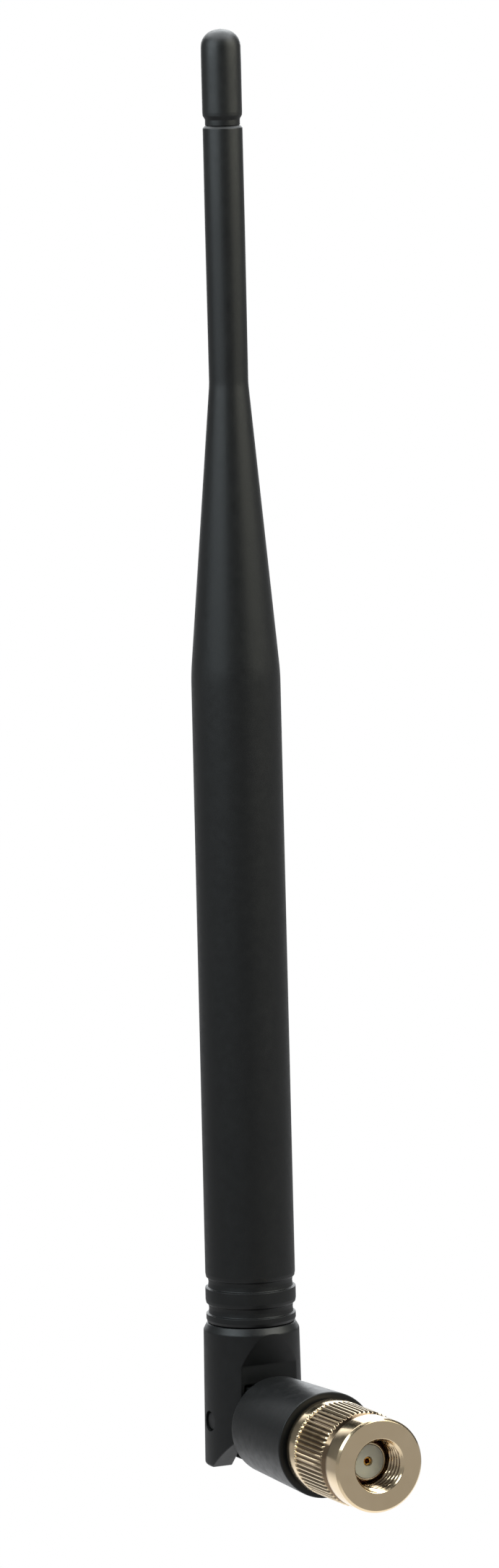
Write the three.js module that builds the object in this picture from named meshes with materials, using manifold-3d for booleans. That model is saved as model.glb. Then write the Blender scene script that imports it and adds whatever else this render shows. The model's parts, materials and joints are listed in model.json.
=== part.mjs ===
// Swivelling 2.4 GHz dipole antenna with a coaxial screw connector.
// Millimetres. +Z runs up the mast and -Y runs out of the connector.
// The origin is the centre of the connector's mating plane.
import * as THREE from 'three';
import { mergeVertices } from 'three/addons/utils/BufferGeometryUtils.js';
import Module from 'manifold-3d';

const wasm = await Module();
wasm.setup();

// ---------- driving dimensions ----------
// Distances along the connector, counted from the hinge pin towards the port.
const MATING_PLANE = 30.6;
const NUT_FRONT = 33.6;
const NUT_REAR = 20.5;
const CABLE_END = 5.5;
const INSULATOR_REAR = 22.3;
const SNAP_RING_FRONT = 26.3;
const SNAP_RING_REAR = 25.6;
const SHANK_FRONT = 28.5;
const CLIP_FRONT = 15.35;
const CLIP_REAR = 14.95;
const KNUCKLE_FRONT = 19.9;
const KNUCKLE_REAR = 5.85;

// Heights along the mast, counted from the hinge pin.
const TIP_TOP = 166.0;
const TIP_GROOVE_TOP = 156.2;
const TIP_GROOVE_BOTTOM = 154.75;
const FLARE_TOP = 124.2;
const FLARE_BOTTOM = 89.8;
const BODY_BOTTOM = 17.15;
const UPPER_RING_TOP = 15.9;
const UPPER_RING_BOTTOM = 13.95;
const LOWER_RING_TOP = 12.75;
const RADOME_BOTTOM = 11.75;
const CLEVIS_BOTTOM = -5.55;

// Radii of the mast and its hinge.
const TIP_RADIUS = 2.36;
const TIP_GROOVE_RADIUS = 2.05;
const BODY_TOP_RADIUS = 5.32;
const BODY_RADIUS = 5.4;
const GROOVE_RADIUS = 5.03;
const UPPER_RING_RADIUS = 5.43;
const LOWER_RING_RADIUS = 5.36;
const CLEVIS_TOP_RADIUS = 5.74;
const CLEVIS_END_RADIUS = 5.92;
const TONGUE_RADIUS = 4.5;
const TONGUE_HALF_WIDTH = 3.0;
const FORK_HALF_GAP = 3.25;
const PIN_RADIUS = 1.05;
const PIN_HOLE_RADIUS = 1.15;
const PIN_RECESS_RADIUS = 1.35;

// Radome wall and the space inside it.
const RADOME_BORE = 4.15;
const TIP_BORE = 1.35;
const SPIGOT_RADIUS = 4.05;
const SPIGOT_TOP = 24;
const GROMMET_SEAT = 18;
const GROMMET_SEAT_RADIUS = 2.6;

// Coaxial connector, to the usual sizes of its screw interface.
const THREAD_MINOR_RADIUS = 2.88;
const THREAD_MAJOR_RADIUS = 3.175;
const DIELECTRIC_RADIUS = 2.03;
const OUTER_CONDUCTOR_RADIUS = 2.3;
const SHANK_RADIUS = 3.0;
const TAIL_RADIUS = 2.9;
const SWIVEL_BORE = 4.5;
const SOCKET_RADIUS = 0.55;

// Coaxial cable.
const JACKET_RADIUS = 0.9;
const BRAID_RADIUS = 0.66;
const CORE_RADIUS = 0.42;
const WIRE_RADIUS = 0.4;

// Radiating element, heights from the hinge pin.
const SLEEVE_BOTTOM = 28;
const FEED = 56;
const COIL_BOTTOM = 84;
const COIL_TOP = 93;
const WIRE_TOP = 147;

const SMALL_GAP = 0.1;
const FINE_GAP = 0.05;
const SIDES = 36;
const FINE_SIDES = 24;
const WIRE_SIDES = 10;

// ---------- materials ----------
function material(color, roughness, metalness) {
  return new THREE.MeshStandardMaterial({ color, roughness, metalness });
}

const BLACK_PLASTIC = material(0x1d1e20, 0.42, 0);
const NICKEL = material(0xb3a793, 0.22, 1);
const BRASS = material(0xb08d4a, 0.35, 1);
const STEEL = material(0x8d9094, 0.35, 1);
const COPPER = material(0xb4693a, 0.35, 1);
const GOLD = material(0xd09a3c, 0.25, 1);
const TIN = material(0xc4c7c9, 0.4, 1);
const PTFE = material(0xe9ebe6, 0.5, 0);
const JACKET = material(0x3a2a1c, 0.55, 0);
const RUBBER = material(0x6b2a22, 0.7, 0);
const NYLON = material(0xd8d4c4, 0.55, 0);
const SHRINK_TUBE = material(0x222222, 0.6, 0);

// ---------- solid helpers ----------
function toManifold(geometry) {
  let bare = geometry.clone();
  bare.deleteAttribute('normal');
  bare.deleteAttribute('uv');
  bare = mergeVertices(bare, 1e-4);
  const position = bare.attributes.position.array;
  const index = bare.index.array;
  const triangles = [];
  for (let i = 0; i < index.length; i += 3) {
    const [a, b, c] = [index[i], index[i + 1], index[i + 2]];
    if (a !== b && b !== c && c !== a) {
      triangles.push(a, b, c);
    }
  }
  if (signedVolume(position, triangles) < 0) {
    triangles.reverse();
  }
  return new wasm.Manifold(new wasm.Mesh({
    numProp: 3,
    vertProperties: new Float32Array(position),
    triVerts: new Uint32Array(triangles),
  }));
}

function signedVolume(position, triangles) {
  const corner = (k) => new THREE.Vector3().fromArray(position, 3 * triangles[k]);
  let six = 0;
  for (let i = 0; i < triangles.length; i += 3) {
    six += corner(i).dot(corner(i + 1).cross(corner(i + 2)));
  }
  return six / 6;
}

function toGeometry(manifold) {
  const mesh = manifold.getMesh();
  const geometry = new THREE.BufferGeometry();
  const position = new Float32Array(mesh.numVert * 3);
  for (let i = 0; i < mesh.numVert; i += 1) {
    for (let k = 0; k < 3; k += 1) {
      position[3 * i + k] = mesh.vertProperties[mesh.numProp * i + k];
    }
  }
  geometry.setAttribute('position', new THREE.BufferAttribute(position, 3));
  geometry.setIndex(new THREE.BufferAttribute(new Uint32Array(mesh.triVerts), 1));
  geometry.computeVertexNormals();
  return geometry;
}

// Replaces each corner [x, y, fillet] of an outline by an arc of that radius.
function filleted(corners, arcSteps = 3) {
  const points = [];
  corners.forEach(([x, y, fillet], i) => {
    const here = new THREE.Vector2(x, y);
    if (!fillet) {
      points.push(here);
      return;
    }
    const before = new THREE.Vector2(...corners[(i + corners.length - 1) % corners.length]);
    const after = new THREE.Vector2(...corners[(i + 1) % corners.length]);
    const back = before.sub(here).normalize();
    const ahead = after.sub(here).normalize();
    const half = Math.acos(THREE.MathUtils.clamp(back.dot(ahead), -1, 1)) / 2;
    const centre = back.clone().add(ahead).normalize()
      .multiplyScalar(fillet / Math.sin(half)).add(here);
    const from = here.clone().addScaledVector(back, fillet / Math.tan(half)).sub(centre);
    const to = here.clone().addScaledVector(ahead, fillet / Math.tan(half)).sub(centre);
    let turn = to.angle() - from.angle();
    turn -= Math.round(turn / (2 * Math.PI)) * 2 * Math.PI;
    for (let k = 0; k <= arcSteps; k += 1) {
      points.push(from.clone().rotateAround(new THREE.Vector2(), turn * k / arcSteps).add(centre));
    }
  });
  return points;
}

// Turns a closed outline of [radius, height] about the mast axis, Z.
function turnedUp(corners, sides = SIDES) {
  return turnedAlong(corners, sides, (g) => g.rotateX(Math.PI / 2));
}

// Turns a closed outline of [radius, distance from the pin] about the connector axis, -Y.
function turnedOut(corners, sides = SIDES) {
  return turnedAlong(corners, sides, (g) => g.rotateX(Math.PI));
}

// Turns a closed outline about the hinge axis, X, with heights along +X.
function turnedAcross(corners, sides = FINE_SIDES) {
  return turnedAlong(corners, sides, (g) => g.rotateZ(-Math.PI / 2));
}

function turnedAlong(corners, sides, place) {
  const outline = filleted(corners);
  outline.push(outline[0].clone());
  const geometry = new THREE.LatheGeometry(outline, sides);
  place(geometry);
  return toManifold(geometry);
}

// Outline of a plain tube or rod from one end to the other.
function tube(inner, outer, start, end) {
  return [[inner, start], [outer, start], [outer, end], [inner, end]];
}

// Box between two opposite corners.
function block(low, high) {
  const size = high.map((value, k) => value - low[k]);
  const geometry = new THREE.BoxGeometry(...size);
  geometry.translate(...low.map((value, k) => value + size[k] / 2));
  return toManifold(geometry);
}

// Slab across the hinge: an outline of [y, z] drawn out over the given half width.
function slab(corners, halfWidth) {
  const shape = new THREE.Shape(filleted(corners, 8));
  const geometry = new THREE.ExtrudeGeometry(shape, { depth: 2 * halfWidth, bevelEnabled: false });
  geometry.translate(0, 0, -halfWidth);
  geometry.applyMatrix4(new THREE.Matrix4().makeBasis(
    new THREE.Vector3(0, 1, 0), new THREE.Vector3(0, 0, 1), new THREE.Vector3(1, 0, 0)));
  return toManifold(geometry);
}

// Round wire along a curve.
function wireAlong(curve, radius, steps, sides = WIRE_SIDES) {
  const shape = new THREE.Shape();
  shape.absarc(0, 0, radius, 0, 2 * Math.PI, false);
  const options = { steps, curveSegments: sides / 2, extrudePath: curve, bevelEnabled: false };
  return toManifold(new THREE.ExtrudeGeometry(shape, options));
}

// ---------- mast pieces ----------
function makeTipCap() {
  const plugBottom = 149.5;
  const plugRadius = TIP_BORE - SMALL_GAP;
  return turnedUp([
    [0, plugBottom],
    [plugRadius, plugBottom],
    [plugRadius, TIP_GROOVE_BOTTOM],
    [TIP_GROOVE_RADIUS, TIP_GROOVE_BOTTOM],
    [TIP_GROOVE_RADIUS, TIP_GROOVE_TOP],
    [TIP_RADIUS, TIP_GROOVE_TOP, 0.2],
    [TIP_RADIUS, TIP_TOP, 2.0],
    [0, TIP_TOP],
  ], FINE_SIDES);
}

function makeRadome() {
  const rimTop = TIP_GROOVE_BOTTOM - SMALL_GAP;
  const bendRadius = 45;
  return turnedUp([
    [RADOME_BORE, RADOME_BOTTOM],
    [LOWER_RING_RADIUS - 0.1, RADOME_BOTTOM],
    [LOWER_RING_RADIUS, RADOME_BOTTOM + 0.5],
    [LOWER_RING_RADIUS, LOWER_RING_TOP],
    [GROOVE_RADIUS, LOWER_RING_TOP],
    [GROOVE_RADIUS, UPPER_RING_BOTTOM],
    [UPPER_RING_RADIUS, UPPER_RING_BOTTOM, 0.3],
    [UPPER_RING_RADIUS, UPPER_RING_TOP],
    [GROOVE_RADIUS, UPPER_RING_TOP],
    [GROOVE_RADIUS, BODY_BOTTOM],
    [BODY_RADIUS, BODY_BOTTOM, 0.3],
    [BODY_TOP_RADIUS, FLARE_BOTTOM, bendRadius],
    [TIP_RADIUS, FLARE_TOP, bendRadius],
    [TIP_RADIUS, rimTop, 0.15],
    [TIP_BORE, rimTop],
    [TIP_BORE, FLARE_TOP - 1],
    [RADOME_BORE, FLARE_BOTTOM - 1],
  ]);
}

// The fork that carries the mast: a tapered round end with its front cut flat,
// the slot for the knuckle's tongue, and a spigot that the radome is glued on.
function makeClevis() {
  const shoulder = RADOME_BOTTOM - SMALL_GAP;
  const shoulderRadius = 5.3;
  const bandFace = -4.5;
  const bandTop = 7.1;
  const bandBottom = -1.55;
  const slantFace = -5.75;
  const slantTop = 11;
  const bevelEnd = bandFace + bandBottom - CLEVIS_BOTTOM + 1;
  const slotTop = 4.85;
  const spineFace = 4.7;
  const spineBottom = -0.5;
  const cableHole = JACKET_RADIUS + 0.25;
  const reach = 8;
  const round = turnedUp([
    [0, CLEVIS_BOTTOM],
    [CLEVIS_END_RADIUS, CLEVIS_BOTTOM, 0.3],
    [CLEVIS_TOP_RADIUS, shoulder - 0.9],
    [shoulderRadius, shoulder],
    [SPIGOT_RADIUS, shoulder],
    [SPIGOT_RADIUS, SPIGOT_TOP, 0.4],
    [0, SPIGOT_TOP],
  ]);
  const front = slab([
    [bandFace, bandTop],
    [slantFace, slantTop],
    [-reach, slantTop],
    [-reach, CLEVIS_BOTTOM - 1],
    [bevelEnd, CLEVIS_BOTTOM - 1],
    [bandFace, bandBottom],
  ], reach);
  const slot = slab([
    [-reach, CLEVIS_BOTTOM - 1],
    [reach, CLEVIS_BOTTOM - 1],
    [reach, spineBottom],
    [spineFace, spineBottom],
    [spineFace, slotTop, 1.2],
    [-reach, slotTop],
  ], FORK_HALF_GAP);
  const cable = turnedUp([
    [0, 0],
    [cableHole, 0],
    [cableHole, GROMMET_SEAT],
    [GROMMET_SEAT_RADIUS, GROMMET_SEAT],
    [GROMMET_SEAT_RADIUS, SPIGOT_TOP + 1],
    [0, SPIGOT_TOP + 1],
  ], FINE_SIDES);
  const pinHoles = turnedAcross(tube(0, PIN_HOLE_RADIUS, -reach, reach));
  const recessFloor = 5.3;
  const recessRight = turnedAcross(tube(0, PIN_RECESS_RADIUS, recessFloor, reach));
  const recessLeft = turnedAcross(tube(0, PIN_RECESS_RADIUS, -reach, -recessFloor));
  return round.subtract(front).subtract(slot).subtract(cable)
    .subtract(pinHoles).subtract(recessRight).subtract(recessLeft);
}

function makeHingePin(side) {
  const inner = 1.45;
  const outer = 5.55;
  const ends = side > 0 ? [inner, outer] : [-outer, -inner];
  return turnedAcross([
    [0, ends[0]],
    [PIN_RADIUS, ends[0], 0.15],
    [PIN_RADIUS, ends[1], 0.15],
    [0, ends[1]],
  ]);
}

function makeSpacer(inner, outer, start, end) {
  return turnedUp(tube(inner + 0.12, outer - 0.12, start, end), FINE_SIDES);
}

function makeCoil() {
  const turns = 6;
  const radius = 2.3;
  const startRadius = 0.95;
  const lead = 1.2;
  class CoilCurve extends THREE.Curve {
    getPoint(t, target = new THREE.Vector3()) {
      const angle = 2 * Math.PI * turns * t;
      const swell = Math.min(1, t * turns * 2, (1 - t) * turns * 2);
      const reachOut = THREE.MathUtils.lerp(startRadius, radius, swell);
      const height = THREE.MathUtils.lerp(COIL_BOTTOM + lead, COIL_TOP - lead, t);
      return target.set(reachOut * Math.cos(angle), reachOut * Math.sin(angle), height);
    }
  }
  return wireAlong(new CoilCurve(), WIRE_RADIUS, turns * 14, 8);
}

// ---------- knuckle pieces ----------
// The elbow: a slightly conical barrel with a tongue of two cheeks for the pins.
function makeKnuckle() {
  const rearRadius = 5.9;
  const frontRadius = 6.38;
  const boreEnd = 9.2;
  const cableHole = 1.5;
  const channel = 1.2;
  const barrel = turnedOut([
    [0, KNUCKLE_REAR],
    [rearRadius, KNUCKLE_REAR, 0.45],
    [frontRadius, KNUCKLE_FRONT, 0.25],
    [0, KNUCKLE_FRONT],
  ]);
  const tongue = slab([
    [-KNUCKLE_REAR - 1, -TONGUE_RADIUS],
    [TONGUE_RADIUS, -TONGUE_RADIUS, TONGUE_RADIUS - 0.01],
    [TONGUE_RADIUS, TONGUE_RADIUS, TONGUE_RADIUS - 0.01],
    [-KNUCKLE_REAR - 1, TONGUE_RADIUS],
  ], TONGUE_HALF_WIDTH);
  const bore = turnedOut(tube(0, SWIVEL_BORE, boreEnd, KNUCKLE_FRONT + 1));
  const cable = turnedOut(tube(0, cableHole, KNUCKLE_REAR - 2, boreEnd + 1), FINE_SIDES);
  const cheekGap = block([-channel, -KNUCKLE_REAR - 0.4, -channel],
    [channel, TONGUE_RADIUS + 1, TONGUE_RADIUS + 1.2]);
  const pinHole = turnedAcross(tube(0, PIN_HOLE_RADIUS, -TONGUE_HALF_WIDTH - 1, TONGUE_HALF_WIDTH + 1));
  return barrel.add(tongue).subtract(bore).subtract(cable).subtract(cheekGap).subtract(pinHole);
}

// ---------- connector pieces ----------
// Outer conductor, shank with a groove for the nut's ring, collar and tail with a groove for the clip.
function makeConnectorBody() {
  const bore = DIELECTRIC_RADIUS + FINE_GAP;
  const coreBore = CORE_RADIUS + 0.13;
  const stepInside = INSULATOR_REAR - 0.3;
  const shankGroove = 2.45;
  const clipGroove = 2.5;
  const collarRadius = 4.1;
  const tailEnd = 13.9;
  const ferruleBore = 1.35;
  const ferruleSeat = 12;
  return turnedOut([
    [bore, MATING_PLANE],
    [OUTER_CONDUCTOR_RADIUS, MATING_PLANE],
    [OUTER_CONDUCTOR_RADIUS, SHANK_FRONT],
    [SHANK_RADIUS, SHANK_FRONT],
    [SHANK_RADIUS, SNAP_RING_FRONT + SMALL_GAP],
    [shankGroove, SNAP_RING_FRONT + SMALL_GAP],
    [shankGroove, SNAP_RING_REAR - SMALL_GAP],
    [SHANK_RADIUS, SNAP_RING_REAR - SMALL_GAP],
    [SHANK_RADIUS, NUT_REAR - SMALL_GAP],
    [collarRadius, NUT_REAR - SMALL_GAP],
    [collarRadius, KNUCKLE_FRONT + SMALL_GAP],
    [TAIL_RADIUS, KNUCKLE_FRONT + SMALL_GAP],
    [TAIL_RADIUS, CLIP_FRONT + FINE_GAP],
    [clipGroove, CLIP_FRONT + FINE_GAP],
    [clipGroove, CLIP_REAR - FINE_GAP],
    [TAIL_RADIUS, CLIP_REAR - FINE_GAP],
    [TAIL_RADIUS, tailEnd],
    [ferruleBore, tailEnd],
    [ferruleBore, ferruleSeat],
    [coreBore, ferruleSeat],
    [coreBore, stepInside],
    [bore, stepInside],
  ]);
}

function makeContactSocket() {
  const end = MATING_PLANE - 0.25;
  const rear = INSULATOR_REAR + 0.3;
  const hole = 0.3;
  const holeEnd = MATING_PLANE - 3;
  return turnedOut([
    [0, rear],
    [SOCKET_RADIUS, rear],
    [SOCKET_RADIUS, end],
    [hole, end],
    [hole, holeEnd],
    [0, holeEnd],
  ], WIRE_SIDES + 6);
}

function makeInsulator() {
  const bore = SOCKET_RADIUS + 0.07;
  return turnedOut(tube(bore, DIELECTRIC_RADIUS, INSULATOR_REAR, MATING_PLANE), FINE_SIDES);
}

// Split ring: a flat ring with one gap, on the connector axis.
function makeSplitRing(inner, outer, start, end, gap) {
  const ring = turnedOut(tube(inner, outer, start, end), FINE_SIDES);
  return ring.subtract(block([-gap / 2, -end - 1, 0], [gap / 2, -start + 1, outer + 1]));
}

// ---------- coupling nut ----------
function makeCouplingNut() {
  const ridges = 60;
  const crest = 5.74;
  const root = 5.42;
  const knurlRear = NUT_REAR + 2.1;
  const knurlFront = knurlRear + 6.6;
  const neck = knurlFront + 1.0;
  const collarRadius = 5.6;
  const neckRadius = 5.1;
  const threadEnd = NUT_FRONT - 4.7;
  const threadBevel = 0.35;
  const relief = 3.3;
  const reliefEnd = NUT_REAR + 4.1;
  const rearBore = SHANK_RADIUS + SMALL_GAP;
  const sleeve = turnedOut([
    [rearBore, NUT_REAR],
    [crest, NUT_REAR, 0.15],
    [crest, knurlRear],
    [root, knurlRear],
    [root, knurlFront],
    [neckRadius, knurlFront + 0.3],
    [neckRadius, neck],
    [collarRadius, neck + 0.3],
    [collarRadius, NUT_FRONT, 0.25],
    [THREAD_MAJOR_RADIUS + FINE_GAP, NUT_FRONT],
    [THREAD_MINOR_RADIUS, NUT_FRONT - threadBevel],
    [THREAD_MINOR_RADIUS, threadEnd],
    [relief, threadEnd],
    [relief, reliefEnd],
    [rearBore, reliefEnd],
  ]);
  const outline = [];
  const pitch = 2 * Math.PI / ridges;
  for (let i = 0; i < ridges; i += 1) {
    for (const [part, radius] of [[0, root], [0.3, crest], [0.6, crest], [0.9, root]]) {
      const angle = pitch * (i + part);
      outline.push(new THREE.Vector2(radius * Math.cos(angle), radius * Math.sin(angle)));
    }
  }
  const shape = new THREE.Shape(outline);
  const hole = new THREE.Path();
  hole.absarc(0, 0, neckRadius - SMALL_GAP, 0, 2 * Math.PI, true);
  shape.holes.push(hole);
  const options = { depth: knurlFront - knurlRear, bevelEnabled: false, curveSegments: SIDES };
  const knurl = new THREE.ExtrudeGeometry(shape, options);
  knurl.rotateX(Math.PI / 2);
  knurl.translate(0, -knurlRear, 0);
  return sleeve.add(toManifold(knurl));
}

// ---------- radiating element, inside the mast ----------
// Layers of the coaxial cable up the mast, from the outside in.
const JACKET_TOP = FEED - 4;
const BRAID_TOP = FEED - 1.5;
const DIELECTRIC_TOP = FEED + 1.5;
const CONDUCTOR_TOP = FEED + 2.4;
const CONDUCTOR_RADIUS = 0.15;
const SLEEVE_BORE = 2.2;
const SLEEVE_RADIUS = 2.5;
const SHRINK_BORE = 0.95;

function makeGrommet() {
  return turnedUp(tube(JACKET_RADIUS + SMALL_GAP, GROMMET_SEAT_RADIUS - SMALL_GAP,
    GROMMET_SEAT + SMALL_GAP, SPIGOT_TOP - SMALL_GAP), FINE_SIDES);
}

function makeCableLayer(inner, outer, top) {
  return turnedUp(tube(inner, outer, CABLE_END, top), outer > CORE_RADIUS ? FINE_SIDES : WIRE_SIDES);
}

// Quarter-wave sleeve, closed at the feed.
function makeSleeveElement() {
  const closedTop = FEED - 1.6;
  const closedBottom = closedTop - 0.5;
  return turnedUp([
    [SLEEVE_BORE, SLEEVE_BOTTOM],
    [SLEEVE_RADIUS, SLEEVE_BOTTOM],
    [SLEEVE_RADIUS, closedTop],
    [SHRINK_BORE, closedTop],
    [SHRINK_BORE, closedBottom],
    [SLEEVE_BORE, closedBottom],
  ], FINE_SIDES);
}

function makeSolderRing() {
  const bore = BRAID_RADIUS + FINE_GAP;
  const top = BRAID_TOP + 0.8;
  return turnedUp([
    [bore, BRAID_TOP],
    [1.7, BRAID_TOP],
    [0.9, top],
    [bore, top],
  ], FINE_SIDES);
}

function makeHeatShrink() {
  return turnedUp(tube(SHRINK_BORE, SHRINK_BORE + 0.2, FEED - 0.3, FEED + 8), FINE_SIDES);
}

function makeRadiatorWire(start, end) {
  return turnedUp(tube(0, WIRE_RADIUS, start, end), WIRE_SIDES);
}

function makeCoilFormer() {
  const inset = 2.1;
  return turnedUp(tube(0, 1.75, COIL_BOTTOM + inset, COIL_TOP - inset), FINE_SIDES);
}

// Cup over the radiator's end that keeps it centred in the tip.
function makeWireEndSleeve() {
  const bore = WIRE_RADIUS + SMALL_GAP;
  const outer = 1.2;
  const mouth = WIRE_TOP - 7;
  return turnedUp([
    [0, WIRE_TOP + SMALL_GAP],
    [bore, WIRE_TOP + SMALL_GAP],
    [bore, mouth],
    [outer, mouth],
    [outer, WIRE_TOP + 1.5],
    [0, WIRE_TOP + 1.5],
  ], FINE_SIDES);
}

// ---------- small connector pieces ----------
function makeSwivelBush() {
  return turnedOut(tube(TAIL_RADIUS + SMALL_GAP, SWIVEL_BORE - SMALL_GAP, 15.9, KNUCKLE_FRONT - SMALL_GAP));
}

function makeThrustWasher() {
  return turnedOut(tube(TAIL_RADIUS + SMALL_GAP, SWIVEL_BORE - 0.2, CLIP_FRONT + 0.15, CLIP_FRONT + 0.45),
    FINE_SIDES);
}

function makeSwivelClip() {
  return makeSplitRing(2.6, 3.9, CLIP_REAR, CLIP_FRONT, 2.2);
}

function makeSnapRing() {
  return makeSplitRing(2.55, 3.22, SNAP_RING_REAR, SNAP_RING_FRONT, 1.2);
}

function makeGasket() {
  return turnedOut(tube(OUTER_CONDUCTOR_RADIUS + FINE_GAP, 2.8, SHANK_FRONT + SMALL_GAP, SHANK_FRONT + 0.8),
    FINE_SIDES);
}

function makeCrimpFerrule() {
  return turnedOut(tube(1.45, 1.75, 9.7, 13.8), FINE_SIDES);
}

function makeTailJacket() {
  return turnedOut(tube(BRAID_RADIUS + FINE_GAP, JACKET_RADIUS, CABLE_END, 11.4), FINE_SIDES);
}

function makeTailCore() {
  return turnedOut(tube(0, CORE_RADIUS, CABLE_END, INSULATOR_REAR + SMALL_GAP), WIRE_SIDES);
}

// ---------- coaxial cable across the hinge ----------
// It leaves the knuckle along -Y and turns up into the mast between the two pins.
function makeHingeCable() {
  const end = CABLE_END - 0.3;
  const bend = 4;
  const out = (distance) => new THREE.Vector3(0, -distance, 0);
  const up = (height) => new THREE.Vector3(0, 0, height);
  const path = new THREE.CurvePath();
  path.add(new THREE.LineCurve3(out(end), out(bend)));
  path.add(new THREE.QuadraticBezierCurve3(out(bend), out(0), up(bend)));
  path.add(new THREE.LineCurve3(up(bend), up(end)));
  return wireAlong(path, JACKET_RADIUS, 20);
}

// ---------- assembly ----------
const antenna = new THREE.Group();
const fromPin = new THREE.Group();
fromPin.position.set(0, MATING_PLANE, 0);
antenna.add(fromPin);

function addPiece(name, manifold, look) {
  const mesh = new THREE.Mesh(toGeometry(manifold), look);
  mesh.name = name;
  fromPin.add(mesh);
}

addPiece('tip_cap', makeTipCap(), BLACK_PLASTIC);
addPiece('radome', makeRadome(), BLACK_PLASTIC);
addPiece('clevis', makeClevis(), BLACK_PLASTIC);
addPiece('hinge_pin_left', makeHingePin(-1), STEEL);
addPiece('hinge_pin_right', makeHingePin(1), STEEL);
addPiece('cable_grommet', makeGrommet(), RUBBER);
addPiece('coax_jacket', makeCableLayer(BRAID_RADIUS + FINE_GAP, JACKET_RADIUS, JACKET_TOP), JACKET);
addPiece('coax_braid', makeCableLayer(CORE_RADIUS + FINE_GAP, BRAID_RADIUS, BRAID_TOP), TIN);
addPiece('coax_dielectric', makeCableLayer(CONDUCTOR_RADIUS + FINE_GAP, CORE_RADIUS, DIELECTRIC_TOP), PTFE);
addPiece('coax_conductor', makeCableLayer(0, CONDUCTOR_RADIUS, CONDUCTOR_TOP), COPPER);
addPiece('sleeve_element', makeSleeveElement(), BRASS);
addPiece('solder_ring', makeSolderRing(), TIN);
addPiece('feed_heat_shrink', makeHeatShrink(), SHRINK_TUBE);
addPiece('lower_radiator', makeRadiatorWire(CONDUCTOR_TOP + 0.2, COIL_BOTTOM), COPPER);
addPiece('phasing_coil', makeCoil(), COPPER);
addPiece('coil_former', makeCoilFormer(), NYLON);
addPiece('top_radiator', makeRadiatorWire(COIL_TOP, WIRE_TOP), COPPER);
addPiece('spacer_lower', makeSpacer(SLEEVE_RADIUS, RADOME_BORE, 33, 37), NYLON);
addPiece('spacer_middle', makeSpacer(WIRE_RADIUS, RADOME_BORE, 72, 75), NYLON);
addPiece('spacer_upper', makeSpacer(WIRE_RADIUS, TIP_BORE, 128, 132), NYLON);
addPiece('wire_end_sleeve', makeWireEndSleeve(), NYLON);

addPiece('knuckle', makeKnuckle(), BLACK_PLASTIC);
addPiece('swivel_bush', makeSwivelBush(), BRASS);
addPiece('coax_hinge_bend', makeHingeCable(), JACKET);

addPiece('connector_body', makeConnectorBody(), NICKEL);
addPiece('ptfe_insulator', makeInsulator(), PTFE);
addPiece('contact_socket', makeContactSocket(), GOLD);
addPiece('gasket', makeGasket(), RUBBER);
addPiece('nut_snap_ring', makeSnapRing(), STEEL);
addPiece('thrust_washer', makeThrustWasher(), NYLON);
addPiece('swivel_clip', makeSwivelClip(), STEEL);
addPiece('crimp_ferrule', makeCrimpFerrule(), NICKEL);
addPiece('coax_tail_jacket', makeTailJacket(), JACKET);
addPiece('coax_tail_core', makeTailCore(), PTFE);

addPiece('coupling_nut', makeCouplingNut(), NICKEL);

export default antenna;
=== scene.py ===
"""Looks of a folding 2.4 GHz antenna: black moulded mast, fork and elbow, and a knurled screw connector.

Shapes are made in millimetres from the hinge pin, +Z up the mast and -Y out of the connector,
and are then placed in the part's frame in metres.
"""

import json
import math

import bmesh
import bpy
from mathutils import Matrix, Vector


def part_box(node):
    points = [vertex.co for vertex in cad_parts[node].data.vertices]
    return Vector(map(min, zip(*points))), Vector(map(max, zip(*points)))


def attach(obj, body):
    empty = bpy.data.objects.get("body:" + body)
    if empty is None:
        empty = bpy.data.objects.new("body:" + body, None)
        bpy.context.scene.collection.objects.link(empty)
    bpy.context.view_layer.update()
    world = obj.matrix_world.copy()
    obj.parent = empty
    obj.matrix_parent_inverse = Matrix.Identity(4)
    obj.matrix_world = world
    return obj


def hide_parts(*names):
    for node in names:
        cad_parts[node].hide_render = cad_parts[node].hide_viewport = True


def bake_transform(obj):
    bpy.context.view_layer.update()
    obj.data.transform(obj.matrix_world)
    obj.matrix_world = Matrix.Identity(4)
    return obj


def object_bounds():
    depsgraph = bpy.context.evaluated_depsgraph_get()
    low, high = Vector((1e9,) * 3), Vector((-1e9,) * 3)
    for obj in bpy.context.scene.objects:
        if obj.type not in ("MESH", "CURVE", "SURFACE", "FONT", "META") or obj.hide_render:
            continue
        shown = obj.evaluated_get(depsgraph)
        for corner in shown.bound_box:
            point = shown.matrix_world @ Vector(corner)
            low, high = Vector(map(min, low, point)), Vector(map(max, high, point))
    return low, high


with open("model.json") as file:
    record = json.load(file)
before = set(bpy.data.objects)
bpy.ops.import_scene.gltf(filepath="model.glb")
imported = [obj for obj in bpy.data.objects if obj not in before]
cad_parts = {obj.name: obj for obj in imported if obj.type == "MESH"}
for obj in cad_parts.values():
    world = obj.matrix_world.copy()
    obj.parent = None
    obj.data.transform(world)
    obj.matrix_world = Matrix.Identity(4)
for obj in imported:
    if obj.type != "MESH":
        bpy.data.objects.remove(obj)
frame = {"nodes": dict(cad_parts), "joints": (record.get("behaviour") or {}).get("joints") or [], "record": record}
cad_low, cad_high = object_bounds()

MM = 0.001
PIN = Vector(next(joint["pos_m"] for joint in frame["joints"] if joint["name"] == "mast_tilt"))

# The coupling nut, in mm.
RIDGES = 60
RIDGE_DEPTH = 0.24
THREAD_PITCH = 0.7056
THREAD_MINOR = 2.88
THREAD_MAJOR = 3.2


# ---------- the frame's measures ----------
def outward(node):
    """Nearest and farthest distance of a node from the hinge pin along the connector, in mm."""
    low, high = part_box(node)
    return (PIN.y - high.y) / MM, (PIN.y - low.y) / MM


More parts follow.
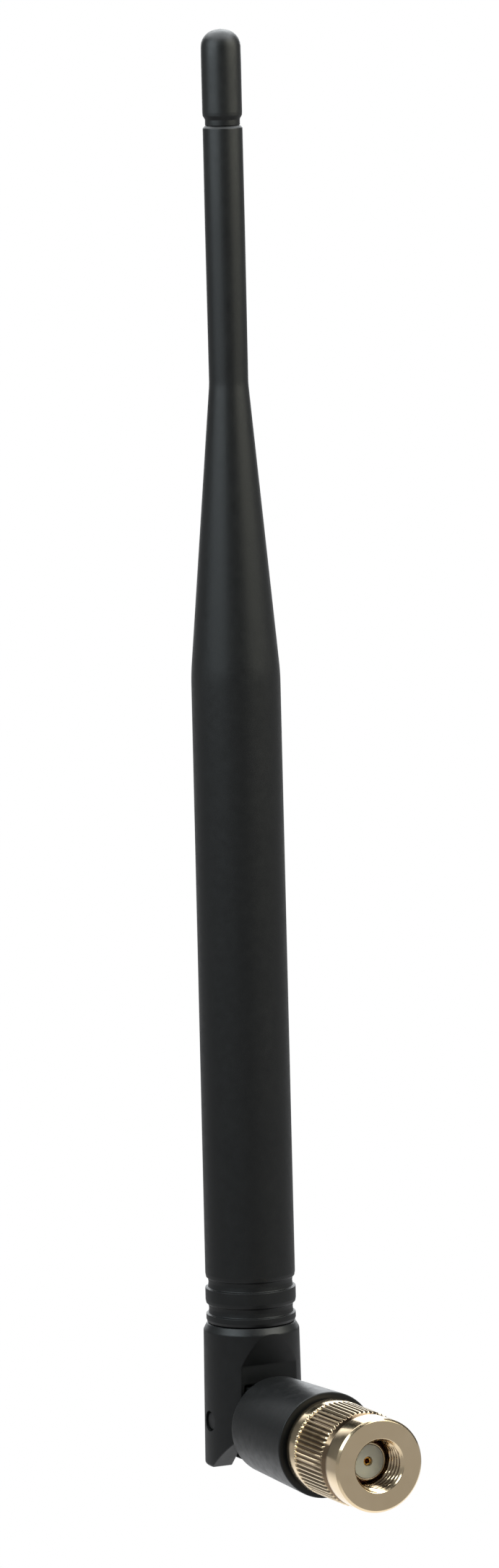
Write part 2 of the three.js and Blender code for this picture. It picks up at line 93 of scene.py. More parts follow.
def upward(node):
    """Lowest and highest point of a node above the hinge pin, in mm."""
    low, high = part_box(node)
    return (low.z - PIN.z) / MM, (high.z - PIN.z) / MM


def half_width(node):
    """Half of a node's width along the hinge, in mm."""
    low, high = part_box(node)
    return (high.x - low.x) / 2 / MM


# ---------- camera ----------
AZIMUTH = math.radians(-25.74)
ELEVATION = math.radians(7.71)
ROLL = math.radians(-1.37)
DISTANCE = 1.0481
LENS = 202.6
LOOK_AT = Vector((1.19, -0.58, 76.45)) * MM + PIN


def make_camera():
    back = Vector((
        math.sin(AZIMUTH) * math.cos(ELEVATION),
        -math.cos(AZIMUTH) * math.cos(ELEVATION),
        math.sin(ELEVATION),
    ))
    level = Vector((math.cos(AZIMUTH), math.sin(AZIMUTH), 0))
    upright = back.cross(level)
    right = level * math.cos(ROLL) + upright * math.sin(ROLL)
    up = upright * math.cos(ROLL) - level * math.sin(ROLL)
    data = bpy.data.cameras.new("camera")
    data.lens = LENS
    data.sensor_width = 36
    data.clip_start, data.clip_end = 0.01, 50
    camera = bpy.data.objects.new("camera", data)
    turn = Matrix((right, up, back)).transposed().to_4x4()
    camera.matrix_world = Matrix.Translation(LOOK_AT + back * DISTANCE) @ turn
    bpy.context.scene.collection.objects.link(camera)
    bpy.context.scene.camera = camera


make_camera()


# ---------- shader helpers ----------
class Shader:
    """A material and short calls that add and join its nodes."""

    def __init__(self, name, **values):
        self.material = bpy.data.materials.new(name)
        self.material.use_nodes = True
        self.tree = self.material.node_tree
        self.bsdf = self.tree.nodes["Principled BSDF"]
        for socket, value in values.items():
            self.bsdf.inputs[socket.replace("_", " ")].default_value = value
        self.place = self.tree.nodes.new("ShaderNodeTexCoord").outputs["Object"]

    def node(self, kind, **settings):
        made = self.tree.nodes.new(kind)
        for key, value in settings.items():
            setattr(made, key, value)
        return made

    def link(self, output, socket):
        self.tree.links.new(output, socket)

    def noise(self, scale, detail=3.0, roughness=0.55, stretch=(1, 1, 1)):
        """Noise in object space. Scale is in cells per metre."""
        mapping = self.node("ShaderNodeMapping")
        mapping.inputs["Scale"].default_value = stretch
        self.link(self.place, mapping.inputs["Vector"])
        texture = self.node("ShaderNodeTexNoise")
        texture.inputs["Scale"].default_value = scale
        texture.inputs["Detail"].default_value = detail
        texture.inputs["Roughness"].default_value = roughness
        self.link(mapping.outputs["Vector"], texture.inputs["Vector"])
        return texture.outputs["Fac"]

    def spread(self, value, low, high, start=0.3, end=0.7):
        """Maps the part of a value between start and end on to low to high."""
        ranged = self.node("ShaderNodeMapRange")
        for name, number in (("From Min", start), ("From Max", end), ("To Min", low), ("To Max", high)):
            ranged.inputs[name].default_value = number
        self.link(value, ranged.inputs["Value"])
        return ranged.outputs["Result"]

    def product(self, *values):
        """The product of several values."""
        total = values[0]
        for value in values[1:]:
            times = self.node("ShaderNodeMath", operation="MULTIPLY")
            self.link(total, times.inputs[0])
            self.link(value, times.inputs[1])
            total = times.outputs["Value"]
        return total

    def mix(self, factor, first, second):
        """A colour between two colours."""
        mixer = self.node("ShaderNodeMix", data_type="RGBA")
        mixer.inputs["A"].default_value = (*first, 1)
        mixer.inputs["B"].default_value = (*second, 1)
        self.link(factor, mixer.inputs["Factor"])
        return mixer.outputs["Result"]

    def bump(self, height, strength, distance, after=None):
        """Bump from a height value. Distance is in metres."""
        bump = self.node("ShaderNodeBump")
        bump.inputs["Strength"].default_value = strength
        bump.inputs["Distance"].default_value = distance
        self.link(height, bump.inputs["Height"])
        if after is not None:
            self.link(after, bump.inputs["Normal"])
        self.link(bump.outputs["Normal"], self.bsdf.inputs["Normal"])
        return bump.outputs["Normal"]

    def set(self, socket, output):
        self.link(output, self.bsdf.inputs[socket])


def black_plastic():
    """Satin moulded plastic with a fine spark-eroded grain and faint handling marks."""
    shader = Shader("black_plastic", IOR=1.4)
    patches = shader.noise(260, detail=4)
    shader.set("Base Color", shader.mix(patches, (0.0035, 0.0038, 0.0040), (0.0060, 0.0064, 0.0062)))
    shader.set("Roughness", shader.spread(shader.noise(900, detail=5), 0.36, 0.47))
    grain = shader.bump(shader.noise(9000, detail=2), 0.5, 0.000016)
    shader.bump(shader.noise(450, detail=2), 0.15, 0.00004, after=grain)
    return shader.material


def nickel():
    """Warm nickel plate with faint turning lines about the axis, and painted shade that darkens the thread's and
    the knurl's valleys.
    """
    # Dark brown of the painted shade in the thread's and the knurl's valleys.
    valley_shade_color = (0.16, 0.10, 0.06, 1)
    knurl_floor = 5.5 * MM
    knurl_shade_end = 5.68 * MM
    neck = 4.9 * MM
    shader = Shader("nickel", Metallic=1.0)
    parts = shader.node("ShaderNodeSeparateXYZ")
    shader.link(shader.place, parts.inputs["Vector"])
    flat = shader.node("ShaderNodeCombineXYZ")
    shader.link(parts.outputs["X"], flat.inputs["X"])
    shader.link(parts.outputs["Z"], flat.inputs["Y"])
    radius = shader.node("ShaderNodeVectorMath", operation="LENGTH")
    shader.link(flat.outputs["Vector"], radius.inputs[0])
    turned_place = shader.node("ShaderNodeCombineXYZ")
    shader.link(radius.outputs["Value"], turned_place.inputs["X"])
    shader.link(parts.outputs["Y"], turned_place.inputs["Y"])
    lines = shader.node("ShaderNodeTexNoise")
    lines.inputs["Scale"].default_value = 5000
    lines.inputs["Detail"].default_value = 2
    shader.link(turned_place.outputs["Vector"], lines.inputs["Vector"])
    tint = shader.noise(220, detail=4)
    plate = shader.mix(tint, (0.77, 0.60, 0.375), (0.89, 0.72, 0.49))
    front = PIN.y - outward("coupling_nut")[1] * MM
    along = parts.outputs["Y"]
    reach = radius.outputs["Value"]
    bevel_end = front + 0.4 * MM
    behind_collar = front + 2.6 * MM
    # Painted shade: the thread's roots and flanks, between the crests and the major radius, darken towards the
    # brown.
    thread_valley_shade = shader.product(
        shader.spread(reach, 0, 1, (THREAD_MINOR + 0.07) * MM, (THREAD_MINOR + 0.2) * MM),
        shader.spread(reach, 1, 0, (THREAD_MAJOR + 0.01) * MM, (THREAD_MAJOR + 0.04) * MM),
        shader.spread(along, 0, 1, bevel_end, bevel_end + 0.1 * MM),
    )
    # Painted shade: the knurl's valleys darken, most near the valley floor, fading out towards the crests.
    knurl_valley_shade = shader.product(
        shader.spread(reach, 0, 1, neck, neck + 0.1 * MM),
        shader.spread(reach, 0.85, 0, knurl_floor, knurl_shade_end),
        shader.spread(along, 0, 1, behind_collar, behind_collar + 0.2 * MM),
    )
    # The two painted-shade masks are added and darken the plate towards the brown.
    painted_shade = shader.node("ShaderNodeMath", operation="ADD")
    shader.link(thread_valley_shade, painted_shade.inputs[0])
    shader.link(knurl_valley_shade, painted_shade.inputs[1])
    shaded_plate = shader.node("ShaderNodeMix", data_type="RGBA")
    shader.link(painted_shade.outputs["Value"], shaded_plate.inputs["Factor"])
    shader.link(plate, shaded_plate.inputs["A"])
    shaded_plate.inputs["B"].default_value = valley_shade_color
    shader.set("Base Color", shaded_plate.outputs["Result"])
    shader.set("Roughness", shader.spread(shader.noise(800, detail=5), 0.09, 0.2))
    shader.bump(lines.outputs["Fac"], 0.12, 0.000004)
    return shader.material


def plain_metal(name, color, dark, roughness):
    """Metal whose colour and roughness vary slightly, with fine scratches."""
    shader = Shader(name, Metallic=1.0)
    shader.set("Base Color", shader.mix(shader.noise(500, detail=4), dark, color))
    shader.set("Roughness", shader.spread(shader.noise(1500), roughness * 0.75, roughness * 1.3))
    shader.bump(shader.noise(1, stretch=(900, 7000, 900)), 0.2, 0.000008)
    return shader.material


def soft_plastic(name, color, dark, roughness, subsurface=0.0):
    """Pale or coloured plastic or rubber with slight mottling."""
    shader = Shader(name)
    shader.bsdf.inputs["Subsurface Weight"].default_value = subsurface
    shader.bsdf.inputs["Subsurface Radius"].default_value = (0.0008, 0.0008, 0.0007)
    shader.bsdf.inputs["Subsurface Scale"].default_value = 1.0
    shader.set("Base Color", shader.mix(shader.noise(700, detail=4), dark, color))
    shader.set("Roughness", shader.spread(shader.noise(2000), roughness * 0.85, roughness * 1.15))
    shader.bump(shader.noise(3500), 0.2, 0.00001)
    return shader.material


def braid():
    """Tinned braid: fine crossing strands."""
    shader = Shader("tin", Metallic=1.0, Roughness=0.4)
    strands = shader.node("ShaderNodeTexWave", wave_type="BANDS", bands_direction="DIAGONAL")
    strands.inputs["Scale"].default_value = 900
    strands.inputs["Distortion"].default_value = 2
    shader.link(shader.place, strands.inputs["Vector"])
    shader.set("Base Color", shader.mix(strands.outputs["Fac"], (0.42, 0.43, 0.44), (0.68, 0.69, 0.7)))
    shader.bump(strands.outputs["Fac"], 0.5, 0.00004)
    return shader.material


MATERIALS = {
    "black_plastic": black_plastic(),
    "nickel": nickel(),
    "brass": plain_metal("brass", (0.66, 0.47, 0.19), (0.52, 0.34, 0.13), 0.32),
    "steel": plain_metal("steel", (0.40, 0.41, 0.42), (0.26, 0.26, 0.27), 0.34),
    "copper": plain_metal("copper", (0.72, 0.36, 0.18), (0.55, 0.25, 0.12), 0.3),
    "gold": plain_metal("gold", (0.95, 0.56, 0.14), (0.80, 0.40, 0.08), 0.22),
    "tin": braid(),
    "ptfe": soft_plastic("ptfe", (0.87, 0.83, 0.63), (0.81, 0.79, 0.64), 0.4, subsurface=0.4),
    "cable_jacket": soft_plastic("cable_jacket", (0.12, 0.06, 0.025), (0.07, 0.035, 0.015), 0.35),
    "rubber": soft_plastic("rubber", (0.22, 0.05, 0.035), (0.15, 0.035, 0.025), 0.6),
    "nylon": soft_plastic("nylon", (0.68, 0.65, 0.55), (0.58, 0.55, 0.45), 0.45, subsurface=0.2),
    "shrink_tube": soft_plastic("shrink_tube", (0.02, 0.02, 0.02), (0.012, 0.012, 0.012), 0.5),
}


# ---------- mesh helpers ----------
def filleted(corners, steps=6):
    """Outline with each corner (x, y, fillet) replaced by an arc of that radius."""
    points = []
    count = len(corners)
    for i, corner in enumerate(corners):
        here = Vector(corner[:2])
        fillet = corner[2] if len(corner) > 2 else 0
        if not fillet:
            points.append(here)
            continue
        back = (Vector(corners[i - 1][:2]) - here).normalized()
        ahead = (Vector(corners[(i + 1) % count][:2]) - here).normalized()
        half = back.angle(ahead) / 2
        centre = here + (back + ahead).normalized() * fillet / math.sin(half)
        start = here + back * fillet / math.tan(half) - centre
        end = here + ahead * fillet / math.tan(half) - centre
        turn = math.atan2(start.cross(end), start.dot(end))
        for k in range(steps + 1):
            angle = turn * k / steps
            points.append(centre + Matrix.Rotation(angle, 2) @ start)
    return points


def new_object(name, mesh):
    piece = bpy.data.objects.new(name, mesh)
    bpy.context.scene.collection.objects.link(piece)
    return piece


def finish_mesh(bm, name, sharp=32):
    """Object from a bmesh in pin millimetres: outward faces, smooth shading, sharp corners kept."""
    bmesh.ops.remove_doubles(bm, verts=bm.verts, dist=1e-5)
    bmesh.ops.recalc_face_normals(bm, faces=bm.faces)
    for vertex in bm.verts:
        vertex.co = vertex.co * MM + PIN
    mesh = bpy.data.meshes.new(name)
    bm.to_mesh(mesh)
    bm.free()
    shade(mesh, sharp)
    return new_object(name, mesh)


def shade(mesh, sharp):
    mesh.polygons.foreach_set("use_smooth", [True] * len(mesh.polygons))
    mesh.set_sharp_from_angle(angle=math.radians(sharp))


UP = Matrix.Identity(3)
OUT = Matrix.Rotation(math.radians(90), 3, "X")
ACROSS = Matrix.Rotation(math.radians(90), 3, "Y")


def turned(name, corners, axis=UP, sides=128, radius_at=None):
    """Turns a closed outline of (radius, height) about an axis. radius_at(angle, r, h) reshapes it."""
    outline = filleted(corners)
    bm = bmesh.new()
    rings = []
    for point in outline:
        if point.x < 1e-6:
            rings.append([bm.verts.new(axis @ Vector((0, 0, point.y)))])
            continue
        ring = []
        for i in range(sides):
            angle = 2 * math.pi * i / sides
            radius = radius_at(angle, point.x, point.y) if radius_at else point.x
            spot = Vector((radius * math.cos(angle), radius * math.sin(angle), point.y))
            ring.append(bm.verts.new(axis @ spot))
        rings.append(ring)
    for first, second in zip(rings, rings[1:] + rings[:1]):
        for i in range(sides):
            j = (i + 1) % sides
            around = (
                first[i % len(first)],
                first[j % len(first)],
                second[j % len(second)],
                second[i % len(second)],
            )
            distinct = list(dict.fromkeys(around))
            if len(distinct) > 2:
                bm.faces.new(distinct)
    return finish_mesh(bm, name)


def slab(name, corners, low, high):
    """Outline of (y, z) in pin millimetres, drawn out along X from low to high."""
    outline = filleted(corners, steps=16)
    bm = bmesh.new()
    near = [bm.verts.new((low, p.x, p.y)) for p in outline]
    far = [bm.verts.new((high, p.x, p.y)) for p in outline]
    bm.faces.new(near)
    bm.faces.new(list(reversed(far)))
    for i in range(len(outline)):
        j = (i + 1) % len(outline)
        bm.faces.new((near[i], near[j], far[j], far[i]))
    return finish_mesh(bm, name)


def evaluated(piece):
    """Applies a piece's modifiers to its mesh."""
    graph = bpy.context.evaluated_depsgraph_get()
    mesh = bpy.data.meshes.new_from_object(piece.evaluated_get(graph))
    piece.modifiers.clear()
    piece.data = mesh


def combine(base, tools):
    """Joins or cuts base with each (operation, object) and removes the tools."""
    for operation, tool in tools:
        modifier = base.modifiers.new("cut", "BOOLEAN")
        modifier.operation = operation
        modifier.object = tool
        modifier.solver = "EXACT"
        evaluated(base)
        bpy.data.objects.remove(tool)


SMOOTHING_ROUNDS = 3
KEPT_FACES = 0.4


def moulded(piece, voxel):
    """Remeshes a piece and smooths it, so that every edge gets the small round of a moulding."""
    remesh = piece.modifiers.new("skin", "REMESH")
    remesh.mode = "VOXEL"
    remesh.voxel_size = voxel * MM
    smooth = piece.modifiers.new("round", "SMOOTH")
    smooth.factor = 0.5
    smooth.iterations = SMOOTHING_ROUNDS
    thin = piece.modifiers.new("thin", "DECIMATE")
    thin.ratio = KEPT_FACES
    evaluated(piece)
    shade(piece.data, 50)


def finished(piece, body, material, *nodes):
    """Gives a piece its material, its body and the CAD nodes that it stands for."""
    piece.data.materials.clear()
    piece.data.materials.append(MATERIALS[material])
    if body:
        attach(piece, body)
    if nodes:
        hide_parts(*nodes)
    return piece


# ---------- mast ----------
def make_tip_cap():
    """Domed cap with a plug in the radome's end and a shallow groove above the joint."""
    bottom, top = upward("tip_cap")
    radius = half_width("tip_cap")
    rim = upward("radome")[1]
    groove = radius - 0.3
    plug = 1.22
    piece = turned("tip_cap_shell", [
        (0, bottom),
        (plug, bottom, 0.2),
        (plug, rim + 0.06),
        (groove, rim + 0.06, 0.03),
        (groove, rim + 0.75, 0.3),
        (radius - 0.04, rim + 1.2, 0.12),
        (radius - 0.01, rim + 1.6, 0.3),
        (radius, top - 4, 0.5),
        (radius - 0.03, top - 0.35, 2.0),
        (0, top),
    ], sides=96)
    finished(piece, "mast", "black_plastic", "tip_cap")


def make_radome():
    bottom, top = upward("radome")
    radius = half_width("radome") - 0.02
    groove = radius - 0.4
    body = radius - 0.04
    shoulder = radius - 0.12
    shoulder_height = 89.8
    neck = 2.35
    neck_height = 124.2
    bore = 4.15
    narrow_bore = 1.35
    piece = turned("radome_shell", [
        (bore, bottom),
        (radius - 0.17, bottom, 0.05),
        (radius - 0.05, bottom + 0.35, 0.2),
        (radius - 0.06, bottom + 0.98, 0.06),
        (groove + 0.06, bottom + 1.05, 0.12),
        (groove, bottom + 1.6, 0.6),
        (groove + 0.06, bottom + 2.1, 0.1),
        (radius - 0.08, bottom + 2.28, 0.14),
        (radius, bottom + 2.7, 0.3),
        (radius, bottom + 4.13, 0.06),
        (groove + 0.06, bottom + 4.2, 0.12),
        (groove, bottom + 4.8, 0.6),
        (groove + 0.06, bottom + 5.25, 0.1),
        (body - 0.08, bottom + 5.43, 0.14),
        (body, bottom + 5.9, 0.4),
        (shoulder, shoulder_height, 30),
        (neck - 0.03, neck_height, 12),
        (neck + 0.01, top - 12, 2),
        (neck, top - 0.28, 0.15),
        (neck - 0.28, top, 0.12),
        (narrow_bore, top),
        (narrow_bore, neck_height - 1.2),
        (bore, shoulder_height - 1.3),
    ], sides=160)
    finished(piece, "mast", "black_plastic", "radome")


def make_fork():
    """Fork at the mast's foot: round outside, slanted and flat in front, slotted for the tongue."""
    bottom, spigot_top = upward("clevis")
    rim = upward("radome")[0] - 0.1
    end_radius = half_width("clevis")
    top_radius = end_radius - 0.18
    spigot = 4.05
    flat_front = -4.5
    slant_top = 11.0
    slot_half = 3.25
    slot_top = 4.85
    pin_hole = 1.1
    recess = 1.24
    recess_floor = 5.3
    beyond = 9
    fork = turned("fork", [
        (0, bottom),
        (end_radius, bottom, 0.25),
        (top_radius, rim - 0.85, 0.35),
        (5.28, rim - 0.02, 0.12),
        (spigot, rim - 0.02),
        (spigot, spigot_top, 0.4),
        (0, spigot_top),
    ], sides=192)
    front = slab("front_cut", [
        (flat_front, 7.1),
        (-5.75, slant_top),
        (-beyond, slant_top),
        (-beyond, bottom - 1),
        (0.5, bottom - 1),
        (flat_front, -1.55),
    ], -beyond, beyond)
    slot = slab("slot_cut", [
        (-beyond, bottom - 1),
        (beyond, bottom - 1),
        (beyond, -0.5),
        (4.7, -0.5),
        (4.7, slot_top, 1.2),
        (-beyond, slot_top),
    ], -slot_half, slot_half)
    cable = turned("cable_cut", [
        (0, 0), (1.15, 0), (1.15, 18), (2.6, 18), (2.6, spigot_top + 1), (0, spigot_top + 1),
    ], sides=64)
    combine(fork, [("DIFFERENCE", front), ("DIFFERENCE", slot), ("DIFFERENCE", cable)])
    moulded(fork, 0.08)
    holes = []
    through = (-beyond, beyond, pin_hole)
    for low, high, radius in (through, (recess_floor, beyond, recess), (-beyond, -recess_floor, recess)):
        hole = turned("hole_cut", [(0, low), (radius, low), (radius, high), (0, high)], ACROSS, 64)
        holes.append(("DIFFERENCE", hole))
    combine(fork, holes)
    shade(fork.data, 40)
    finished(fork, "mast", "black_plastic", "clevis")


def make_pins():
    """Blackened pins, one in each ear of the fork."""
    radius = 1.05
    for node in ("hinge_pin_left", "hinge_pin_right"):
        low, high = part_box(node)
        start, end = (low.x - PIN.x) / MM, (high.x - PIN.x) / MM
        piece = turned(node + "_turned", [
            (0, start), (radius, start, 0.14), (radius, end, 0.14), (0, end),
        ], ACROSS, 64)
        finished(piece, "mast", "black_plastic", node)


# ---------- elbow ----------
def make_elbow():
    """Slightly conical elbow with the tongue's two cheeks, the cable's way and the bush's bore."""
    near, front = outward("knuckle")
    rear = 5.85
    front_radius = half_width("knuckle")
    cheek = 3.0
    bush_bore = 4.5
    bush_seat = 9.2
    cable_bore = 1.5
    channel = 1.2
    elbow = turned("elbow", [
        (0, rear),
        (5.9, rear, 0.45),
        (front_radius, front, 0.1),
        (0, front),
    ], OUT, 192)
    tongue = slab("tongue_join", [
        (-rear - 1, near), (-near, near, -near - 0.01), (-near, -near, -near - 0.01), (-rear - 1, -near),
    ], -cheek, cheek)
    bore = turned("bore_cut", [
        (0, bush_seat), (bush_bore, bush_seat), (bush_bore, front + 1), (0, front + 1),
    ], OUT, 128)
    way = turned("way_cut", [(0, 3.8), (cable_bore, 3.8), (cable_bore, 10.2), (0, 10.2)], OUT, 64)
    gap = slab("channel_cut", [
        (-6.25, -channel, 0.5), (6, -channel), (6, 6), (-6.25, 6),
    ], -channel, channel)
    hole = turned("pin_cut", [(0, -4), (1.15, -4), (1.15, 4), (0, 4)], ACROSS, 64)
    combine(elbow, [
        ("UNION", tongue),
        ("DIFFERENCE", bore),
        ("DIFFERENCE", way),
        ("DIFFERENCE", gap),
        ("DIFFERENCE", hole),
    ])
    moulded(elbow, 0.09)
    finished(elbow, "elbow", "black_plastic", "knuckle")


# ---------- connector ----------
def make_nut():
    """Coupling nut: plain rear band, straight knurl, cone, neck, front collar and a threaded bore."""
    rear, front = outward("coupling_nut")
    crest = half_width("coupling_nut") - 0.005
    band_front = rear + 2.1
    knurl_front = band_front + 6.6
    run_in = 0.3
    cone = 0.6
    neck = 5.1
    collar = 5.6
    bevel = 0.38
    thread_front = front - 0.42
    thread_rear = front - 4.7
    relief = 3.35
    bore = 3.1
    bore_front = rear + 4.1

    def knurled(angle, radius, height):
        """Lowers the surface between ridges that have narrow crests and sloping sides."""
        place = (angle * RIDGES / (2 * math.pi)) % 1.0
        valley = min(1.0, max(0.0, (abs(place - 0.5) - 0.08) / 0.32))
        start = min(1.0, max(0.0, (height - band_front) / run_in))
        return min(radius, crest - RIDGE_DEPTH * valley * math.sqrt(start))

    def threaded(angle, radius, height):
        """Cuts a single-start thread with narrow crests, which runs out in the mouth's bevel."""
        turn = (height / THREAD_PITCH - angle / (2 * math.pi)) % 1.0
        depth = min(1.0, max(0.0, 1.25 - 2.6 * abs(turn - 0.5)))
        fade = min(1.0, (height - thread_rear) / 0.5)
        return max(radius, THREAD_MINOR + (THREAD_MAJOR - THREAD_MINOR) * depth * fade)

    def reshaped(angle, radius, height):
        if radius > neck - 0.1 and band_front <= height <= knurl_front + cone:
            return knurled(angle, radius, height)
        if radius < THREAD_MAJOR and thread_rear < height < front - 0.2:
            return threaded(angle, radius, height)
        return radius

    steps = 10
    outside = [(bore, rear), (crest - 0.01, rear, 0.25), (crest, band_front - 0.02)]
    outside += [(crest, band_front + run_in * k / steps) for k in range(steps + 1)]
    outside += [(crest, band_front + (knurl_front - band_front) * k / 4) for k in range(1, 5)]
    outside += [
        (crest - (crest - neck) * k / steps, knurl_front + cone * k / steps) for k in range(1, steps + 1)
    ]
    outside += [
        (neck, knurl_front + 1.0, 0.1),
        (collar - 0.02, knurl_front + 1.4, 0.12),
        (collar, front - 0.3, 0.06),
        (collar - 0.26, front - 0.02, 0.08),
        (THREAD_MAJOR + 0.06, front - 0.02, 0.03),
    ]
    mouth = THREAD_MAJOR + 0.02
    inside = []
    for k in range(steps):
        inside.append((mouth - (mouth - THREAD_MINOR) * k / steps, front - 0.04 - bevel * k / steps))
    rings = 90
    inside += [
        (THREAD_MINOR, thread_front - (thread_front - thread_rear) * k / rings) for k in range(rings)
    ]
    inside += [(relief, thread_rear - 0.05), (relief, bore_front), (bore, bore_front)]
    piece = turned("nut", outside + inside, OUT, RIDGES * 10, reshaped)
    finished(piece, "nut", "nickel", "coupling_nut")


def make_connector_shell():
    """Tube round the dielectric, shank with the ring's groove, collar and grooved tail."""
    near, plane = outward("connector_body")
    collar_front = outward("coupling_nut")[0] - 0.1
    collar_rear = outward("knuckle")[1] + 0.1
    bore = 2.08
    tube = 2.3
    shank = 3.0
    ring_groove = 2.45
    collar = 4.1
    tail = 2.9
    clip_groove = 2.5
    crimp_stem = 1.35
    core_hole = 0.55
    step = near + 1.9
    piece = turned("connector_shell", [
        (bore, plane - 0.02, 0.02),
        (tube, plane, 0.12),
        (tube, 28.5),
        (shank, 28.5, 0.08),
        (shank, 26.4),
        (ring_groove, 26.4),
        (ring_groove, 25.5),
        (shank, 25.5),
        (shank, collar_front),
        (collar, collar_front, 0.1),
        (collar, collar_rear, 0.1),
        (tail, collar_rear),
        (tail, 15.4),
        (clip_groove, 15.4),
        (clip_groove, 14.9),
        (tail, 14.9),
        (tail, step, 0.15),
        (crimp_stem, step),
        (crimp_stem, near),
        (core_hole, near),
        (core_hole, 22),
        (bore, 22),
    ], OUT, 96)
    finished(piece, "connector", "nickel", "connector_body")


def make_dielectric():
    low = outward("ptfe_insulator")[0]
    plane = outward("connector_body")[1]
    piece = turned("dielectric", [
        (0.58, low), (2.03, low), (2.03, plane, 0.06), (0.58, plane, 0.03),
    ], OUT, 96)
    finished(piece, "connector", "ptfe", "ptfe_insulator")


def make_socket():
    """Gold contact with a hole for the pin and four fingers between two crossed slots."""
    low, high = outward("contact_socket")
    piece = turned("socket", [
        (0, low), (0.55, low), (0.55, high - 0.3), (0.5, high, 0.1), (0.3, high - 0.02, 0.06),
        (0.27, high - 2.6), (0, high - 2.75),
    ], OUT, 48)
    half_slot = 0.045
    slot_depth = 1.4
    slots = []
    for turn in (35, 125):
        slit = slab("slit", [
            (-high - 1, -0.9), (-high + slot_depth, -0.9), (-high + slot_depth, 0.9), (-high - 1, 0.9),
        ], -half_slot, half_slot)
        rotation = Matrix.Rotation(math.radians(turn), 4, "Y")
        slit.data.transform(Matrix.Translation(PIN) @ rotation @ Matrix.Translation(-PIN))
        slots.append(("DIFFERENCE", slit))
    combine(piece, slots)
    shade(piece.data, 32)
    finished(piece, "connector", "gold", "contact_socket")


def make_seal():
    low, high = outward("gasket")
    piece = turned("seal", [
        (2.35, low, 0.15), (2.8, low, 0.2), (2.8, high, 0.2), (2.35, high, 0.15),
    ], OUT, 64)
    finished(piece, "connector", "rubber", "gasket")


# ---------- cable across the hinge ----------
def make_hinge_cable():
    """Jacketed cable that leaves the elbow and turns up between the pins."""
    reach = 5.2
    bend = 4.0
    radius = 0.9
    steps = 60
    sides = 32
    straight = 0.15
    path = []
    for k in range(steps + 1):
        t = k / steps
        if t < straight:
            path.append(Vector((0, -reach + (reach - bend) * t / straight, 0)))
        elif t > 1 - straight:
            path.append(Vector((0, 0, bend + (reach - bend) * (t - 1 + straight) / straight)))
        else:
            u = (t - straight) / (1 - 2 * straight)
            path.append(Vector((0, -bend * (1 - u) ** 2, bend * u ** 2)))
    bm = bmesh.new()
    rings = []
    for k, spot in enumerate(path):
        ahead = (path[min(k + 1, steps)] - path[max(k - 1, 0)]).normalized()
        side = Vector((1, 0, 0))
        above = ahead.cross(side)
        ring = []
        for i in range(sides):
            angle = 2 * math.pi * i / sides
            ring.append(bm.verts.new(spot + (side * math.cos(angle) + above * math.sin(angle)) * radius))
        rings.append(ring)
    for first, second in zip(rings, rings[1:]):
        for i in range(sides):
            j = (i + 1) % sides
            bm.faces.new((first[i], first[j], second[j], second[i]))
    bm.faces.new(list(reversed(rings[0])))
    bm.faces.new(rings[-1])
    piece = finish_mesh(bm, "hinge_cable")
    finished(piece, None, "cable_jacket", "coax_hinge_bend")
    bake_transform(piece)


make_tip_cap()
make_radome()
make_fork()
make_pins()
make_elbow()
make_nut()
make_connector_shell()
make_dielectric()
make_socket()
make_seal()
make_hinge_cable()

# The hidden pieces keep their CAD shapes.
SLOT_OF = {entry["node"]: entry["material_slot"] for entry in frame["record"]["subparts"]}
for node, piece in frame["nodes"].items():
    piece.data.materials.clear()
    piece.data.materials.append(MATERIALS[SLOT_OF[node]])
    shade(piece.data, 40)


# ---------- studio ----------
# Level direction from the camera past the object.
BEHIND = Vector((-math.sin(AZIMUTH), math.cos(AZIMUTH), 0))
FLOOR_DROP = 0.03
FLOOR_NEAR = 1.15
FLOOR_FAR = 0.4
WORLD_BASE = 0.07
# Soft bright patches of the world: direction, cosines where each starts and is full, and strength.
WORLD_LOBES = (
    (BEHIND + Vector((0, 0, 0.35)), 0.77, 0.93, 2.6),
    ((-0.95, 0.05, 0.1), 0.2, 0.9, 0.22),
    ((0.75, -0.65, 0.0), 0.45, 0.95, 0.38),
    ((0.45, -0.5, 0.75), 0.9, 0.97, 2.6),
)


def white_to_camera(nodes, links, lit):
    """Mixes a shader with plain white, which is what the camera sees straight on."""
    white = nodes.new("ShaderNodeEmission" if lit.node.type == "EMISSION" else "ShaderNodeBackground")
    white.inputs["Color"].default_value = (1, 1, 1, 1)
    white.inputs["Strength"].default_value = 1.0
    path = nodes.new("ShaderNodeLightPath")
    mixer = nodes.new("ShaderNodeMixShader")
    links.new(path.outputs["Is Camera Ray"], mixer.inputs["Fac"])
    links.new(lit, mixer.inputs[1])
    links.new(white.outputs[0], mixer.inputs[2])
    return mixer.outputs["Shader"]


